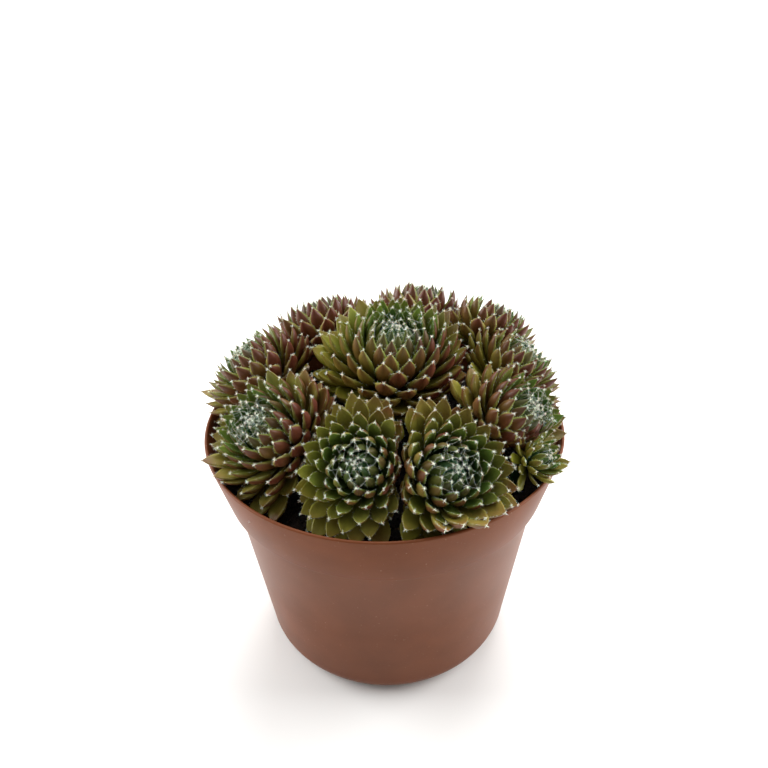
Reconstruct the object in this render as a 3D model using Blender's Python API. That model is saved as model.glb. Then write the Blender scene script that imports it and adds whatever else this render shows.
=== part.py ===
"""A pot of hens and chicks: a large rosette with smaller ones packed round it, in a round plastic pot.

Units are metres, +Z is up, and the origin is the middle of the circle that the pot stands on.
Each rosette is one solid: its leaves, its short stem and the small core that they grow from.
"""

import math
import random

import bmesh
import bpy
import numpy as np
from mathutils import Matrix

MM = 0.001

# Pot: thin moulded plastic, with a collar round the top and a raised floor with drain holes
POT_HEIGHT = 94.5 * MM
RIM_RADIUS = 65 * MM
COLLAR_HEIGHT = 21 * MM
COLLAR_FOOT_RADIUS = 60.2 * MM
BODY_TOP_RADIUS = 57.6 * MM
BODY_FOOT_RADIUS = 48.4 * MM
FOOT_CORNER = 8.5 * MM
WALL = 1.2 * MM
STANDING_RING_RADIUS = 36 * MM
RAISED_FLOOR = 3 * MM
DRAIN_HOLES = 6
DRAIN_CIRCLE = 24 * MM
DRAIN_RADIUS = 4 * MM
POT_SIDES = 44

# Soil: fills the pot to a little under the rim
GAP = 0.3 * MM
SOIL_BELOW_RIM = 11 * MM
SOIL_LEVEL = POT_HEIGHT - SOIL_BELOW_RIM
SOIL_BUMP = 1.0 * MM
SOIL_RINGS = 4

# Stems stand in plain round holes in the soil
STEM_RADIUS = 2.4 * MM
STEM_DEPTH = 12 * MM
STEM_SIDES = 8
HOLE_RADIUS = STEM_RADIUS + 2 * GAP
HOLE_SIDES = 12

# The core and the stem's bends, as shares of the rosette's reach
HEART_DEPTH = 0.50
CORE_WIDTH = 0.36
CORE_HEIGHT = 0.40
CORE_ROWS = 6
CORE_SIDES = 12
NECK_DEPTH = 0.42
FOOT_BEHIND = 0.45

# Leaves: lengths are shares of the rosette's reach, and half widths are shares of the half width
GOLDEN_ANGLE = math.radians(137.508)
TURN_SPREAD = math.radians(3)
OUTER_ANGLE = math.radians(98)
OPENING_POWER = 0.62
BUD_REACH = 0.52
ROOT_REACH = 0.16
OLD_LEAF_SINK = 0.16
YOUNG_CURL = math.radians(20)
OLD_CURL = math.radians(-2)
SQUEEZED_CURL = math.radians(10)
BOW = math.radians(26)
LEAF_WIDTH = 0.38
BUD_WIDTH = 0.42
BROADEST = 0.76
FOOT_WIDTH = 0.55
EDGE_RISE = 0.12
KEEL_AT_ROOT = 0.62
KEEL_AT_TIP = 0.32
LEAF_STATIONS = (0.0, 0.45, BROADEST)
LENGTHS = (1.0, 0.88, 0.76, 0.64, 0.5)
SQUEEZE_STEP = 0.05
SQUEEZES = 15

# Clearances, and how finely they are tested
NEIGHBOUR_GAP = 0.25 * MM
RIM_GAP = 1.0 * MM
SOIL_GAP = SOIL_BUMP + 0.6 * MM
WELD = 0.006 * MM
MOST_DRAWS = 8
PROBES = 12

# Each rosette: name, crown's place from the centre of the rim (mm), its lean from upright and the
# compass direction that it leans to (degrees, 0 towards the viewer and 90 to the right), its reach (mm)
# and its number of leaves
ROSETTES = (
    ("hen", (5, 4, 34), 9, 20, 34.5, 40),
    ("chick_front", (-9, -48, 16), 43, -10, 26.0, 32),
    ("chick_front_right", (21.5, -50, 15), 43, 20, 28.0, 34),
    ("chick_right", (50, -22, 17), 44, 66, 27.0, 30),
    ("chick_right_rear", (53, 9, 21), 38, 98, 24.5, 26),
    ("chick_rear_right", (46, 35, 25), 34, 127, 24.5, 26),
    ("chick_rear", (18, 49, 27), 28, 160, 27.0, 26),
    ("chick_rear_left", (-27, 46, 23), 32, -148, 28.0, 26),
    ("chick_left", (-52, 14, 20), 40, -104, 27.0, 28),
    ("chick_front_left", (-43, -26, 17), 39, -58, 28.5, 32),
    ("offset_right", (53, -35, 7), 52, 56, 13.0, 14),
)

LEAF_GREEN = (0.105, 0.125, 0.035)
LEAF_RED = (0.115, 0.045, 0.030)
SOIL_BROWN = (0.022, 0.014, 0.009)
POT_BROWN = (0.215, 0.098, 0.060)


def clear_scene():
    for thing in list(bpy.data.objects):
        bpy.data.objects.remove(thing)


def material(name, colour, roughness):
    made = bpy.data.materials.new(name)
    made.use_nodes = True
    shader = made.node_tree.nodes["Principled BSDF"]
    shader.inputs["Base Color"].default_value = (*colour, 1)
    shader.inputs["Roughness"].default_value = roughness
    shader.inputs["Metallic"].default_value = 0
    return made


def add_object(name, mesh, surface=None):
    thing = bpy.data.objects.new(name, mesh)
    bpy.context.scene.collection.objects.link(thing)
    if surface is not None:
        mesh.materials.append(surface)
    return thing


def mesh_from(name, points, faces):
    """A closed mesh from points and faces, with its faces turned outwards."""
    mesh = bpy.data.meshes.new(name)
    mesh.from_pydata([tuple(p) for p in points], [], faces)
    work = bmesh.new()
    work.from_mesh(mesh)
    bmesh.ops.recalc_face_normals(work, faces=work.faces)
    if work.calc_volume() < 0:
        bmesh.ops.reverse_faces(work, faces=work.faces)
    work.to_mesh(mesh)
    work.free()
    return mesh


def turned_mesh(name, profile, sides):
    """A closed turned solid. The profile runs from the axis to the axis, as (radius, height)."""
    points, rings = [], []
    for radius, height in profile:
        if radius == 0:
            rings.append([len(points)] * sides)
            points.append((0, 0, height))
            continue
        rings.append(list(range(len(points), len(points) + sides)))
        for k in range(sides):
            turn = 2 * math.pi * k / sides
            points.append((radius * math.cos(turn), radius * math.sin(turn), height))
    faces = []
    for low, high in zip(rings, rings[1:]):
        for k in range(sides):
            n = (k + 1) % sides
            corners = [low[k], low[n], high[n], high[k]]
            faces.append(list(dict.fromkeys(corners)))
    return mesh_from(name, points, faces)


def corner_arc(radius, centre, start, end, steps):
    """Points of a rounded corner in the turned profile, from one angle to the other (degrees)."""
    found = []
    for k in range(steps + 1):
        angle = math.radians(start + (end - start) * k / steps)
        found.append((centre[0] + radius * math.cos(angle), centre[1] + radius * math.sin(angle)))
    return found


def body_radius(height):
    """Outer radius of the pot's body at a height between its foot and its collar."""
    share = height / (POT_HEIGHT - COLLAR_HEIGHT)
    return BODY_FOOT_RADIUS + (BODY_TOP_RADIUS - BODY_FOOT_RADIUS) * share


def pot_outside():
    collar_foot = POT_HEIGHT - COLLAR_HEIGHT
    corner = (body_radius(FOOT_CORNER) - FOOT_CORNER, FOOT_CORNER)
    return (
        [(0, RAISED_FLOOR), (STANDING_RING_RADIUS - RAISED_FLOOR, RAISED_FLOOR), (STANDING_RING_RADIUS, 0)]
        + corner_arc(FOOT_CORNER, corner, -90, 0, 3)
        + [(BODY_TOP_RADIUS, collar_foot), (COLLAR_FOOT_RADIUS, collar_foot)]
    )


def pot_inside(inset):
    """The inner side of the wall, from the rim down to the axis, moved in by a further inset."""
    thick = WALL + inset
    collar_foot = POT_HEIGHT - COLLAR_HEIGHT
    corner = (body_radius(FOOT_CORNER) - FOOT_CORNER, FOOT_CORNER)
    floor, floor_edge = RAISED_FLOOR + thick, STANDING_RING_RADIUS - RAISED_FLOOR
    return (
        [(COLLAR_FOOT_RADIUS - thick, collar_foot + thick), (BODY_TOP_RADIUS - thick, collar_foot)]
        + corner_arc(FOOT_CORNER - thick, corner, 0, -90, 3)
        + [(STANDING_RING_RADIUS + 0.5 * thick, thick), (floor_edge - 0.5 * thick, floor), (0, floor)]
    )


def cut(target, cutter_mesh, name):
    """Cuts a mesh out of the target, and removes the cutter."""
    cutter = add_object(name, cutter_mesh)
    cutter.hide_render = True
    cutter.display_type = "WIRE"
    tool = target.modifiers.new("cut", "BOOLEAN")
    tool.operation = "DIFFERENCE"
    tool.solver = "MANIFOLD"
    tool.object = cutter
    apply_modifiers(target)
    bpy.data.objects.remove(cutter)


def apply_modifiers(thing):
    bpy.context.view_layer.update()
    graph = bpy.context.evaluated_depsgraph_get()
    made = bpy.data.meshes.new_from_object(thing.evaluated_get(graph))
    made.name = thing.name
    thing.modifiers.clear()
    thing.data = made


def add_pot(surface):
    rim_round = 0.5 * WALL
    rim = corner_arc(rim_round, (RIM_RADIUS - rim_round, POT_HEIGHT - rim_round), 0, 180, 3)
    profile = pot_outside() + rim + pot_inside(0)
    pot = add_object("pot", turned_mesh("pot", profile, POT_SIDES), surface)
    for k in range(DRAIN_HOLES):
        turn = 2 * math.pi * k / DRAIN_HOLES
        x, y = DRAIN_CIRCLE * math.cos(turn), DRAIN_CIRCLE * math.sin(turn)
        drain = peg(f"drain_{k}", (x, y), DRAIN_RADIUS, 0, RAISED_FLOOR + 2 * WALL, HOLE_SIDES)
        cut(pot, drain, "drain_cutter")
    pot.data.shade_smooth()
    pot.data.set_sharp_from_angle(angle=math.radians(35))


def peg(name, place, radius, low, high, sides):
    """An upright round peg as a closed mesh."""
    mesh = turned_mesh(name, [(0, low), (radius, low), (radius, high), (0, high)], sides)
    mesh.transform(Matrix.Translation((place[0], place[1], 0)))
    return mesh


def add_soil(surface, feet):
    """The soil, bumpy on top, with a plain hole for each stem."""
    level_radius = COLLAR_FOOT_RADIUS - WALL - GAP
    level_radius += (RIM_RADIUS - COLLAR_FOOT_RADIUS) * (1 - SOIL_BELOW_RIM / COLLAR_HEIGHT)
    top = [(level_radius * k / SOIL_RINGS, SOIL_LEVEL) for k in range(SOIL_RINGS + 1)]
    side = pot_inside(GAP)[:4]
    floor = RAISED_FLOOR + WALL + GAP
    mesh = turned_mesh("soil", top + side + [(side[-1][0] - GAP, floor), (0, floor)], POT_SIDES // 2)
    draw = random.Random(4)
    inner = level_radius * (SOIL_RINGS - 0.5) / SOIL_RINGS
    for vertex in mesh.vertices:
        if abs(vertex.co.z - SOIL_LEVEL) < GAP and math.hypot(vertex.co.x, vertex.co.y) < inner:
            vertex.co.z += draw.uniform(-SOIL_BUMP, SOIL_BUMP)
    soil = add_object("soil", mesh, surface)
    for k, (x, y) in enumerate(feet):
        low = SOIL_LEVEL - STEM_DEPTH - GAP
        hole = peg(f"hole_{k}", (x, y), HOLE_RADIUS, low, SOIL_LEVEL + 3 * SOIL_BUMP, HOLE_SIDES)
        cut(soil, hole, "hole_cutter")


class Rosette:
    """One rosette's place and the free room round it."""

    def __init__(self, row, number):
        self.name, crown, lean, compass, reach, self.leaves = row
        lean, compass = math.radians(lean), math.radians(compass)
        self.axis = np.array(
            [math.sin(lean) * math.sin(compass), -math.sin(lean) * math.cos(compass), math.cos(lean)]
        )
        self.reach = reach * MM
        crown = np.array([crown[0] * MM, crown[1] * MM, crown[2] * MM + POT_HEIGHT])
        self.heart = crown - HEART_DEPTH * self.reach * self.axis
        self.side = np.cross([0.0, 1.0, 0.0], self.axis)
        self.side /= np.linalg.norm(self.side)
        self.ahead = np.cross(self.axis, self.side)
        self.number = number
        self.walls = []

    def find_walls(self, others):
        """The flat borders to the other rosettes, nearer to the smaller one of each two."""
        for other in others:
            if other is self:
                continue
            apart = other.heart - self.heart
            distance = np.linalg.norm(apart)
            share = self.reach / (self.reach + other.reach)
            self.walls.append((apart / distance, share * distance - NEIGHBOUR_GAP))

    def is_clear(self, points):
        """True where points keep off the neighbours, the soil and the pot's rim."""
        for normal, limit in self.walls:
            if ((points - self.heart) @ normal).max() > limit:
                return False
        radius = np.hypot(points[:, 0], points[:, 1])
        height = points[:, 2]
        inside = radius < RIM_RADIUS - WALL - RIM_GAP
        floor = np.where(inside, SOIL_LEVEL + SOIL_GAP, POT_HEIGHT + RIM_GAP)
        return bool((height > floor).all())

    def foot(self):
        """Where the stem goes into the soil."""
        back = self.heart - FOOT_BEHIND * self.reach * self.axis * np.array([1, 1, 0])
        limit = RIM_RADIUS - 4 * HOLE_RADIUS
        radius = math.hypot(back[0], back[1])
        share = min(1.0, limit / radius)
        return back[0] * share, back[1] * share


def leaf_sections(rosette, age, turn, squeeze, length, stations):
    """Points of one leaf at each station, as (left edge, right edge, keel), and its tip.

    Age runs from 0 at the heart to 1 at the outermost leaf. Squeeze lifts a leaf towards the axis.
    """
    out = math.cos(turn) * rosette.side + math.sin(turn) * rosette.ahead
    across = np.cross(rosette.axis, out)
    tip_angle = OUTER_ANGLE * age**OPENING_POWER * squeeze
    tip_reach = rosette.reach * (BUD_REACH + (1 - BUD_REACH) * age**0.8) * length
    curl = YOUNG_CURL + (OLD_CURL - YOUNG_CURL) * age + SQUEEZED_CURL * (1 - squeeze)
    root_reach = ROOT_REACH * rosette.reach
    sink = OLD_LEAF_SINK * rosette.reach * age

    def middle(t):
        angle = tip_angle + curl * (1 - t) + BOW * t * (1 - t)
        radius = root_reach + (tip_reach - root_reach) * t
        along = rosette.axis * math.cos(angle) + out * math.sin(angle)
        return rosette.heart + along * radius - rosette.axis * sink * (1 - t)

    width = 0.5 * LEAF_WIDTH * rosette.reach * (BUD_WIDTH + (1 - BUD_WIDTH) * age**0.5)
    sections = []
    for t in stations:
        here = middle(t)
        forward = middle(t + 0.01) - middle(t - 0.01)
        forward /= np.linalg.norm(forward)
        inward = np.cross(forward, across)
        half = width * leaf_outline(t)
        keel = width * (KEEL_AT_ROOT + (KEEL_AT_TIP - KEEL_AT_ROOT) * t)
        raised = here + EDGE_RISE * half * inward
        sections.append((raised - half * across, raised + half * across, here - keel * inward))
    return sections, middle(1.0)


def over_skin(sections, tip):
    """Points over a leaf's skin, from past its root to its tip."""
    corners = np.array([*sections, (tip, tip, tip)])
    other = np.roll(corners, 1, axis=1)
    rows = np.concatenate([corners + (other - corners) * share for share in (0, 0.25, 0.5, 0.75)], axis=1)
    shares = np.linspace(0, 1, PROBES)[:, None, None]
    found = [low + (high - low) * shares for low, high in zip(rows, rows[1:])]
    return np.concatenate([found[0][PROBES // 2:], *found[1:]]).reshape(-1, 3)


def leaf_outline(t):
    """Half width of a leaf along its length, as a share of its greatest: broadest past the middle."""
    if t > BROADEST:
        return (1 - t) / (1 - BROADEST)
    return FOOT_WIDTH + (1 - FOOT_WIDTH) * math.sin(math.pi * t / BROADEST / 2)


def fit_leaf(rosette, age, turn):
    """The least squeeze, and then shortening, that keeps a leaf clear of its surroundings."""
    for length in LENGTHS:
        for step in range(SQUEEZES):
            squeeze = 1 - SQUEEZE_STEP * step
            sections, tip = leaf_sections(rosette, age, turn, squeeze, length, LEAF_STATIONS)
            if rosette.is_clear(over_skin(sections, tip)):
                return squeeze, length
    return None


def leaf_mesh(name, sections, tip):
    """A leaf as a closed three-cornered blade that ends in a point."""
    points = [p for section in sections for p in section] + [tip]
    last = len(sections) - 1
    faces = [(0, 1, 2)]
    for row in range(last):
        for a, b in ((0, 1), (1, 2), (2, 0)):
            low, high = 3 * row, 3 * row + 3
            faces.append((low + a, low + b, high + b))
            faces.append((low + a, high + b, high + a))
    for a, b in ((0, 1), (1, 2), (2, 0)):
        faces.append((3 * last + a, 3 * last + b, len(points) - 1))
    return mesh_from(name, points, faces)


def core_mesh(rosette):
    """The small dome that the leaves stand out of."""
    wide, tall = CORE_WIDTH * rosette.reach, CORE_HEIGHT * rosette.reach
    turns = [math.pi * k / CORE_ROWS for k in range(1, CORE_ROWS)]
    profile = [(wide * math.sin(turn), -tall * math.cos(turn)) for turn in turns]
    mesh = turned_mesh(rosette.name, [(0, -tall), *profile, (0, tall)], CORE_SIDES)
    for vertex in mesh.vertices:
        x, y, z = vertex.co
        vertex.co = rosette.heart + x * rosette.side + y * rosette.ahead + z * rosette.axis
    return mesh


def stem_mesh(rosette):
    """A short stem from the core, bending down into the soil."""
    foot = np.array([*rosette.foot(), 0.0])
    path = [
        rosette.heart,
        rosette.heart - NECK_DEPTH * rosette.reach * rosette.axis,
        foot + [0, 0, SOIL_LEVEL + SOIL_GAP],
        foot + [0, 0, SOIL_LEVEL - STEM_DEPTH],
    ]
    points, faces = [], []
    for row, here in enumerate(path):
        forward = path[min(row + 1, 3)] - path[max(row - 1, 0)] if row < 2 else np.array([0, 0, -1.0])
        forward = forward / np.linalg.norm(forward)
        first = np.cross(forward, [0.0, 1.0, 0.0])
        first /= np.linalg.norm(first)
        second = np.cross(forward, first)
        for k in range(STEM_SIDES):
            turn = 2 * math.pi * k / STEM_SIDES
            points.append(here + STEM_RADIUS * (math.cos(turn) * first + math.sin(turn) * second))
    for row in range(3):
        for k in range(STEM_SIDES):
            low, n = row * STEM_SIDES, (k + 1) % STEM_SIDES
            faces.append((low + k, low + n, low + STEM_SIDES + n, low + STEM_SIDES + k))
    faces.append(tuple(range(STEM_SIDES)))
    faces.append(tuple(range(3 * STEM_SIDES, 4 * STEM_SIDES)))
    return mesh_from(rosette.name + "_stem", points, faces)


def keep_outer_skin(thing):
    """Drops loose scraps and fills sealed hollows, by keeping only the largest skin."""
    work = bmesh.new()
    work.from_mesh(thing.data)
    bmesh.ops.remove_doubles(work, verts=work.verts, dist=WELD)
    bmesh.ops.dissolve_degenerate(work, edges=work.edges, dist=WELD)
    unseen, skins = set(work.faces), []
    while unseen:
        skin, ahead = set(), [unseen.pop()]
        while ahead:
            face = ahead.pop()
            skin.add(face)
            near = {other for edge in face.edges for other in edge.link_faces} & unseen
            unseen -= near
            ahead.extend(near)
        skins.append(skin)
    skins.sort(key=len)
    for skin in skins[:-1]:
        bmesh.ops.delete(work, geom=list(skin), context="FACES")
    sound = all(edge.is_manifold for edge in work.edges) and all(vert.is_manifold for vert in work.verts)
    work.to_mesh(thing.data)
    work.free()
    return sound


def joined(name, core, meshes):
    """The core and the other meshes as one solid."""
    body = add_object(name, core)
    pieces = bpy.data.collections.new(name + "_pieces")
    bpy.context.scene.collection.children.link(pieces)
    for mesh in meshes:
        pieces.objects.link(bpy.data.objects.new(mesh.name, mesh))
    join = body.modifiers.new("join", "BOOLEAN")
    join.operation = "UNION"
    join.operand_type = "COLLECTION"
    join.collection = pieces
    join.solver = "MANIFOLD"
    apply_modifiers(body)
    for thing in list(pieces.objects):
        bpy.data.objects.remove(thing)
    bpy.data.collections.remove(pieces)
    return body


def add_rosette(rosette, surface):
    """Joins a rosette's core, stem and leaves into one solid, with a new draw where two leaves only touch."""
    for attempt in range(MOST_DRAWS):
        draw = random.Random(100 * attempt + rosette.number)
        meshes = [stem_mesh(rosette)]
        for k in range(rosette.leaves):
            age = (k + 0.5) / rosette.leaves
            turn = k * GOLDEN_ANGLE + draw.uniform(-TURN_SPREAD, TURN_SPREAD)
            fitted = fit_leaf(rosette, age, turn)
            if fitted is not None:
                sections, tip = leaf_sections(rosette, age, turn, *fitted, LEAF_STATIONS)
                meshes.append(leaf_mesh(f"{rosette.name}_leaf_{k}", sections, tip))
        body = joined(rosette.name, core_mesh(rosette), meshes)
        if keep_outer_skin(body):
            break
        bpy.data.objects.remove(body)
    body.data.materials.append(surface)
    print(f"{rosette.name}: draw {attempt}, {len(meshes) - 1} leaves, {len(body.data.polygons)} faces")


def main():
    clear_scene()
    green = material("leaf_green", LEAF_GREEN, 0.45)
    red = material("leaf_red", LEAF_RED, 0.45)
    rosettes = [Rosette(row, k) for k, row in enumerate(ROSETTES)]
    for rosette in rosettes:
        rosette.find_walls(rosettes)
    add_pot(material("pot_plastic", POT_BROWN, 0.5))
    add_soil(material("potting_soil", SOIL_BROWN, 0.95), [r.foot() for r in rosettes])
    for rosette in rosettes:
        rear = rosette.name in ("chick_rear", "chick_rear_left")
        add_rosette(rosette, red if rear else green)


main()
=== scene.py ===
# %% [markdown]
# # Hens and chicks in a round plastic pot
#
# The plant is a houseleek: one large rosette, the hen, and a ring of younger ones, the chicks, which
# lean outwards over the rim of a thin brown nursery pot. This lesson dresses a plain solid model of it.
# The solids are loaded as a fixed frame. Each rosette is then grown again with fuller leaves, in the
# same place, and the pot, the soil and the plant's white down get their own meshes and finishes.

import math
import random

import bmesh
import bpy
import numpy as np
from mathutils import Matrix, Vector


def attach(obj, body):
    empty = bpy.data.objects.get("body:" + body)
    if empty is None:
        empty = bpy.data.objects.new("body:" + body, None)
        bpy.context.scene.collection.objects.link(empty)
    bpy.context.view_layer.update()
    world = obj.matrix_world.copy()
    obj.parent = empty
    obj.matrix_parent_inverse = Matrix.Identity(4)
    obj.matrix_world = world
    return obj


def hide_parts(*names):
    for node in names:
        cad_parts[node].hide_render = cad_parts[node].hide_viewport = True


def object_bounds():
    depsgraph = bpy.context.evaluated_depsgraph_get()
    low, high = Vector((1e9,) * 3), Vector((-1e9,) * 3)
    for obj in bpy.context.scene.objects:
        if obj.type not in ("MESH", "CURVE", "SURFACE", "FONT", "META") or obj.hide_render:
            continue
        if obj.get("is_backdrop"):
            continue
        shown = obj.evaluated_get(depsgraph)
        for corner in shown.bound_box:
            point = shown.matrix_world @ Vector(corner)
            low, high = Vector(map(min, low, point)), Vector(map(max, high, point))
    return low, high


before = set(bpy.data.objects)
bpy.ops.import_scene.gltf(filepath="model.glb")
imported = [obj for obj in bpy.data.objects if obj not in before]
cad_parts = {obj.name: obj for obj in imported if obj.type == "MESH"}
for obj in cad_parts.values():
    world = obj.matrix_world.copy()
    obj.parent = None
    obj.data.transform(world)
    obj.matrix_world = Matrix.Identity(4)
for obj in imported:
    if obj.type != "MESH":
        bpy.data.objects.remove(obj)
cad_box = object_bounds()
print("nodes:", ", ".join(sorted(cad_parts)))

# %% [markdown]
# ## Sizes
#
# Every length is in metres. The pot's sizes are those of a 13 cm nursery pot, and the height of its rim
# is the level that the rosettes are measured from, because they sit in the pot's mouth.

# %% Real sizes
MM = 0.001
POT_HEIGHT = 94.5 * MM
RIM_RADIUS = 65 * MM
COLLAR_HEIGHT = 21 * MM
COLLAR_FOOT_RADIUS = 60.2 * MM
BODY_TOP_RADIUS = 57.6 * MM
BODY_FOOT_RADIUS = 48.4 * MM
FOOT_CORNER = 8.5 * MM
WALL = 1.2 * MM
STANDING_RING_RADIUS = 36 * MM
RAISED_FLOOR = 3 * MM
SOIL_BELOW_RIM = 11 * MM
SOIL_LEVEL = POT_HEIGHT - SOIL_BELOW_RIM
print("pot:", 2000 * RIM_RADIUS, "mm across and", 1000 * POT_HEIGHT, "mm tall")

# %% [markdown]
# ## The camera
#
# The photograph was taken from close by, looking down at about 32 degrees: the pot narrows strongly
# towards its foot, which a distant camera with a long lens wouldn't show. The camera is placed first,
# so that every later render can be set beside the photograph. Its frame leans a little, so it's turned
# from its own three directions and not from angles.

# %% Place the camera
PICTURE = 768
LENS_PIXELS = 700
LOOK_DOWN = math.radians(32.02)
LEAN = math.radians(-1.2)
SENSOR = 36.0
CAMERA_PLACE = Vector((0.23, -212.5, 146.8)) * MM + Vector((0, 0, POT_HEIGHT))

ahead = Vector((0, math.cos(LOOK_DOWN), -math.sin(LOOK_DOWN)))
level_right = Vector((1, 0, 0))
level_up = level_right.cross(ahead)
right = math.cos(LEAN) * level_right + math.sin(LEAN) * level_up
up = math.cos(LEAN) * level_up - math.sin(LEAN) * level_right
camera_data = bpy.data.cameras.new("camera")
camera_data.sensor_width = SENSOR
camera_data.lens = LENS_PIXELS / PICTURE * SENSOR
camera_data.clip_start = 0.01
camera = bpy.data.objects.new("camera", camera_data)
camera.matrix_world = Matrix.Translation(CAMERA_PLACE) @ Matrix((right, up, -ahead)).transposed().to_4x4()
bpy.context.scene.collection.objects.link(camera)
bpy.context.scene.camera = camera
print("lens:", round(camera_data.lens, 1), "mm")

# %% [markdown]
# ## Helpers for materials and pieces
#
# Colours are written as the sRGB hex values that a colour picker shows, and one function turns them to
# the linear values that Blender's shaders work in. Another adds a node of any kind, sets it, links it
# and hands back one of its outputs. A node's inputs are named, or numbered where two share a name: a
# Mix node for colours takes its share at 0 and its two colours at 6 and 7, and gives its result at 2.


# %% Helpers
def linear(hex_colour):
    """An sRGB hex colour such as #8A5C47 as linear red, green, blue and alpha."""
    parts = [int(hex_colour[k : k + 2], 16) / 255 for k in (1, 3, 5)]
    return (*[p / 12.92 if p <= 0.04045 else ((p + 0.055) / 1.055) ** 2.4 for p in parts], 1.0)


def add_node(tree, kind, inputs=None, output=0, **settings):
    """Adds a node, sets it, fills its inputs with values or other nodes' outputs, and returns an output."""
    node = tree.nodes.new("ShaderNode" + kind)
    for key, value in settings.items():
        setattr(node, key, value)
    for key, value in (inputs or {}).items():
        if isinstance(value, bpy.types.NodeSocket):
            tree.links.new(value, node.inputs[key])
        else:
            node.inputs[key].default_value = value
    return node.outputs[output]


def new_material(name, **sockets):
    """A material with one Principled shader, whose named sockets get fixed values."""
    material = bpy.data.materials.new(name)
    material.use_nodes = True
    shader = material.node_tree.nodes["Principled BSDF"]
    for key, value in sockets.items():
        shader.inputs[key.replace("_", " ")].default_value = value
    return material, material.node_tree, shader


def add_piece(name, mesh, material, node=None):
    """Puts a mesh in the scene as a piece of the object that rides on its one body."""
    piece = bpy.data.objects.new(name, mesh)
    bpy.context.scene.collection.objects.link(piece)
    mesh.materials.append(material)
    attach(piece, "root")
    if node:
        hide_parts(node)
    print(f"{name}: {len(mesh.polygons)} faces")
    return piece


print("middle grey in linear light:", round(linear("#808080")[0], 3))

# %% [markdown]
# ## The pot's plastic
#
# A pot like this is injection-moulded polypropylene, dyed terracotta brown. Moulding leaves it satin,
# with a faint orange-peel skin, and cheap masterbatch leaves it a little cloudy, with tiny pale specks
# of dust. Its wall is thin enough to let some light through, so a little light scatters inside it.
# Polypropylene's index of refraction is about 1.49. Its specular level is low, because the photograph
# shows no bright reflections on the pot. The clouds are 18 mm across, the specks 0.9 mm and the skin's
# bumps 0.7 mm: a noise texture's scale is one over the size of its blotches.

# %% Moulded polypropylene
polypropylene, tree, shader = new_material(
    "moulded_polypropylene",
    Roughness=0.38,
    IOR=1.49,
    Specular_IOR_Level=0.15,
    Subsurface_Weight=0.06,
    Subsurface_Scale=2 * MM,
    Subsurface_Radius=(1.0, 0.35, 0.2),
)
PLASTIC_NOISES = {"cloud": (18, 4), "speck": (0.9, 2), "skin": (0.7, 3)}
SPECK_STRENGTH = 0.35
place = add_node(tree, "TexCoord", output="Object")
relief = {}
for name, (size, detail) in PLASTIC_NOISES.items():
    inputs = {"Vector": place, "Scale": 1 / (size * MM), "Detail": detail, "Roughness": 0.55}
    relief[name] = add_node(tree, "TexNoise", inputs, "Fac")
cloud = add_node(tree, "MapRange", {"Value": relief["cloud"], "From Min": 0.35, "From Max": 0.65})
shade = add_node(tree, "Mix", {0: cloud, 6: linear("#68391F"), 7: linear("#713F24")}, 2, data_type="RGBA")
speck = add_node(tree, "MapRange", {"Value": relief["speck"], "From Min": 0.70, "From Max": 0.78})
speck = add_node(tree, "Math", {0: speck, 1: SPECK_STRENGTH}, operation="MULTIPLY")
shade = add_node(tree, "Mix", {0: speck, 6: shade, 7: linear("#C9A48C")}, 2, data_type="RGBA")
tree.links.new(shade, shader.inputs["Base Color"])
skin = add_node(tree, "Bump", {"Strength": 0.12, "Distance": 0.05 * MM, "Height": relief["skin"]})
tree.links.new(skin, shader.inputs["Normal"])
print(polypropylene.name, "with", len(tree.nodes), "nodes")

# %% [markdown]
# ## The pot
#
# A pot is round all over, so it's a profile turned about the upright axis. A Screw modifier could turn
# it, but points worked out one by one keep the collar's step, the thin lip and the rounded foot exact. The
# profile starts in the middle of the floor's underside, goes up the outside, over the lip and down the
# inside, and ends in the middle of the floor's top.


# %% Turn a profile
def arc(radius, centre, start, end, steps):
    """Points on a rounded corner of the profile, between two angles in degrees."""
    angles = [math.radians(start + (end - start) * k / steps) for k in range(steps + 1)]
    return [(centre[0] + radius * math.cos(a), centre[1] + radius * math.sin(a)) for a in angles]


def turned(name, profile, sides):
    """A closed mesh turned from a profile of (radius, height) that starts and ends on the axis."""
    work = bmesh.new()
    rings = []
    for radius, height in profile:
        count = 1 if radius == 0 else sides
        turns = [2 * math.pi * k / sides for k in range(count)]
        rings.append([work.verts.new((radius * math.cos(t), radius * math.sin(t), height)) for t in turns])
    for low, high in zip(rings, rings[1:]):
        for k in range(sides):
            n = (k + 1) % sides
            corners = [low[k % len(low)], low[n % len(low)], high[n % len(high)], high[k % len(high)]]
            work.faces.new(list(dict.fromkeys(corners)))
    bmesh.ops.recalc_face_normals(work, faces=work.faces)
    mesh = bpy.data.meshes.new(name)
    work.to_mesh(mesh)
    work.free()
    return mesh


def body_radius(height):
    """The outside radius of the pot's body at a height under the collar."""
    share = height / (POT_HEIGHT - COLLAR_HEIGHT)
    return BODY_FOOT_RADIUS + (BODY_TOP_RADIUS - BODY_FOOT_RADIUS) * share


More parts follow.
